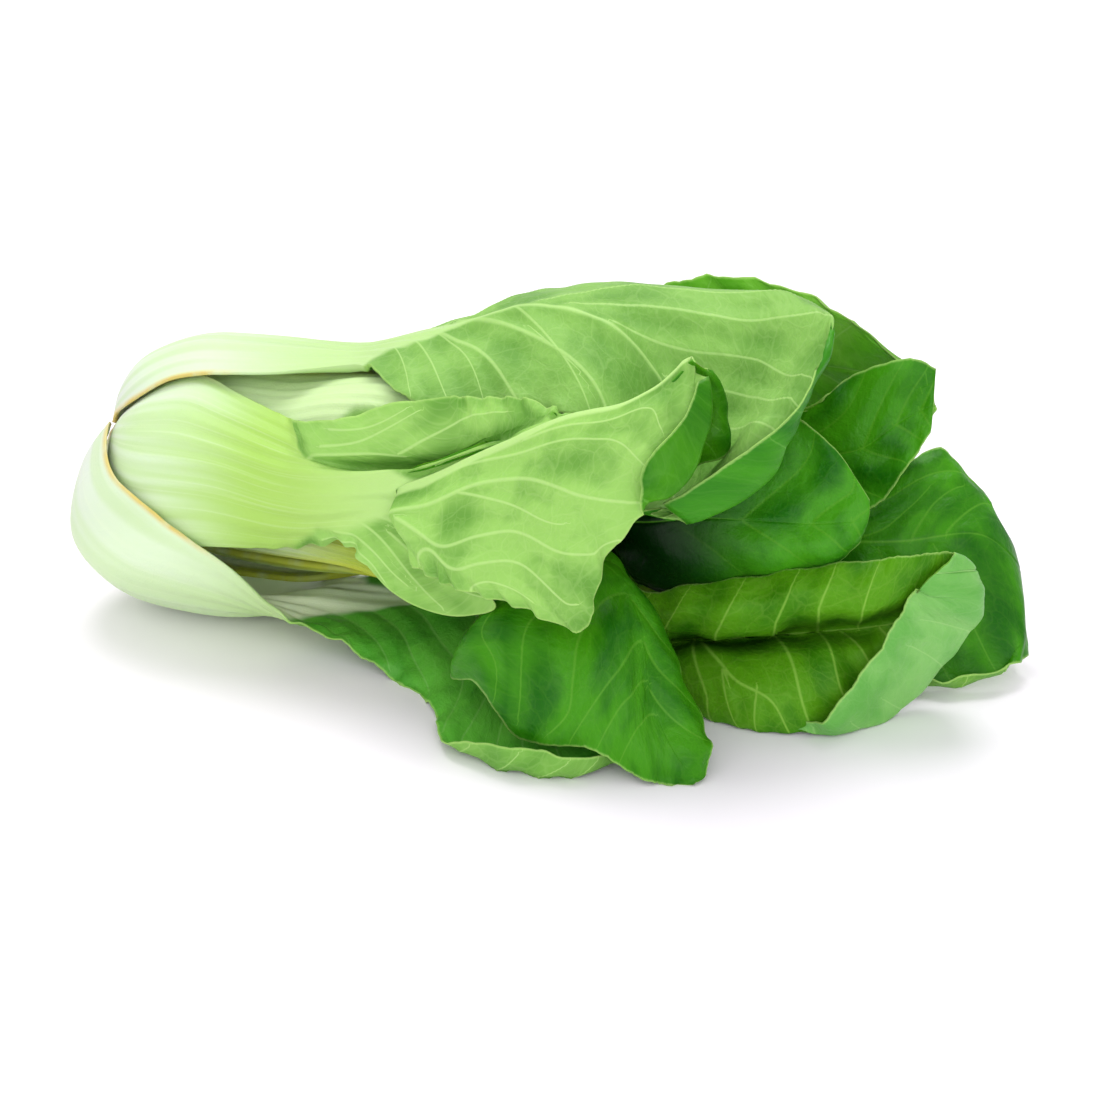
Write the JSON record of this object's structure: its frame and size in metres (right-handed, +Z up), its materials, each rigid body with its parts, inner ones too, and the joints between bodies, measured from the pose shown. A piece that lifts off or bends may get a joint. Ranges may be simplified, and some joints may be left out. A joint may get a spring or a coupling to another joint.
{
  "type": "head of bok choy",
  "caption": "Head of green-stalked bok choy lying on its side: thick pale stalks round a short stem, and dark green blades that fan out and droop onto the table.",
  "frame": {"origin": "on the table, under the middle of the head's bounding box", "axes": "+X from the cut base along the head to the leaf tips, +Y away from the side with the draped leaf, +Z up"},
  "size_m": [0.2395, 0.1132, 0.1006],
  "materials": {
    "outer_leaf": "waxy green blade running into a glossy, pale yellow-green stalk",
    "middle_leaf": "glossy dark green blade with paler veins",
    "inner_leaf": "glossy mid green blade with paler veins",
    "heart_leaf": "tender yellow-green blade",
    "stem": "matte cut face, off-white with a tan rim"
  },
  "bodies": {
    "root": {"outer_leaf_top": "outer_leaf", "outer_leaf_front": "outer_leaf", "outer_leaf_under": "outer_leaf", "outer_leaf_back": "outer_leaf", "outer_leaf_right": "outer_leaf", "middle_leaf_draped": "middle_leaf", "middle_leaf_top": "middle_leaf", "middle_leaf_back": "middle_leaf", "middle_leaf_floor": "middle_leaf", "inner_leaf_front": "inner_leaf", "inner_leaf_hollow": "inner_leaf", "inner_leaf_upper": "inner_leaf", "heart_leaf_back": "heart_leaf", "heart_leaf_front": "heart_leaf", "stem_base": "stem"}
  },
  "joints": []
}
